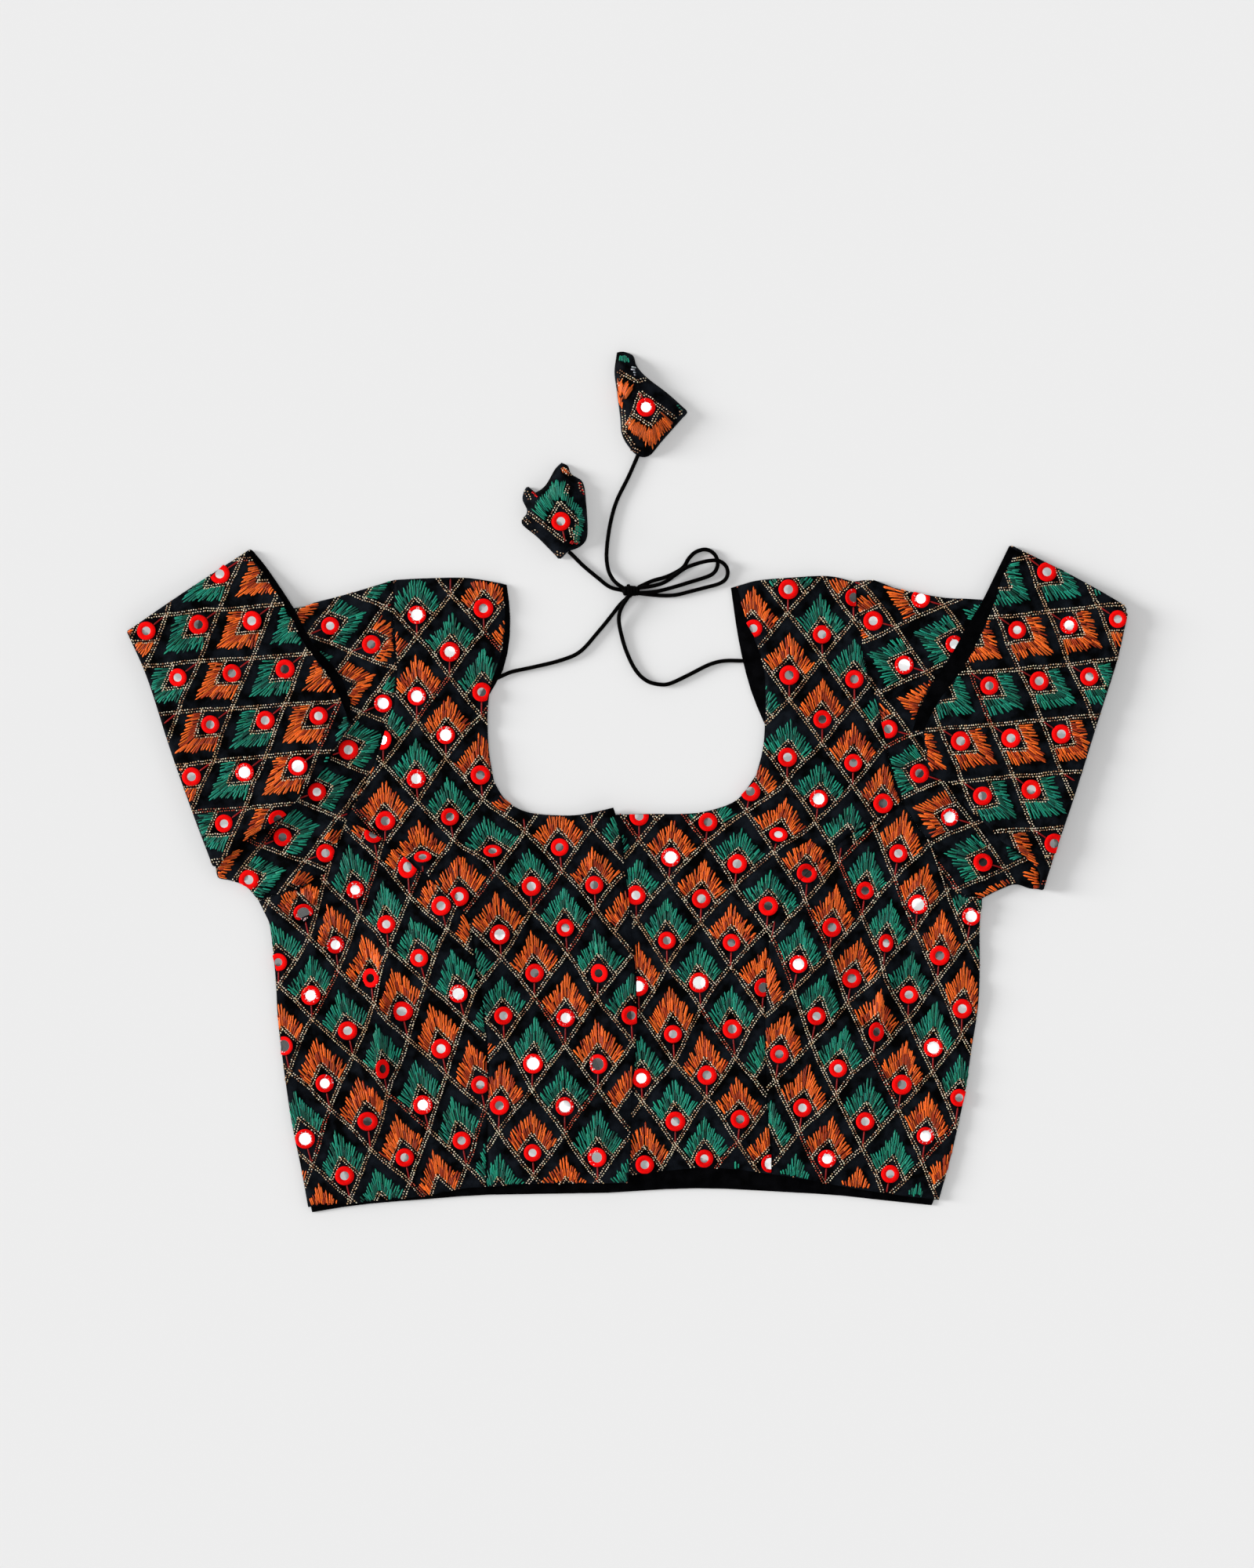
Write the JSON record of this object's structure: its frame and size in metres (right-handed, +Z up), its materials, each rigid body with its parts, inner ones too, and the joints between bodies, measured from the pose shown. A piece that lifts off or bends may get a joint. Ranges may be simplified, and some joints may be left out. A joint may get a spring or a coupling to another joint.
{
  "type": "choli blouse",
  "caption": "Cropped choli blouse of mirror-embroidered black satin, laid flat, with a round neck, turned-back sleeves and neck cords tied in a bow with cloth tassels.",
  "frame": {"origin": "middle of the outline of the cloth, without its cords, on the surface that it lies on", "axes": "+X to the viewer's right as the blouse lies front up, +Y towards the shoulders, +Z up off the surface"},
  "size_m": [0.6368, 0.547, 0.0096],
  "materials": {
    "embroidered_satin": "blue-black satin with green and orange silk stitching and beads",
    "black_cord": "satin",
    "black_lining": "matte",
    "silk_thread": "silk stitches in green, orange and red",
    "zari_bead": "small polished beads",
    "mirror_glass": "polished"
  },
  "bodies": {
    "root": {"back": "embroidered_satin", "centre_front_left": "embroidered_satin", "centre_front_right": "embroidered_satin", "side_front_left": "embroidered_satin", "side_front_right": "embroidered_satin", "sleeve_left": "embroidered_satin", "sleeve_right": "embroidered_satin", "dori_left": "black_cord", "dori_right": "black_cord", "dori_loop_lower": "black_cord", "dori_loop_upper": "black_cord", "dori_tail_left": "black_cord", "dori_tail_right": "black_cord", "dori_knot": "black_cord", "latkan_lower": "embroidered_satin", "latkan_upper": "embroidered_satin"}
  },
  "joints": []
}
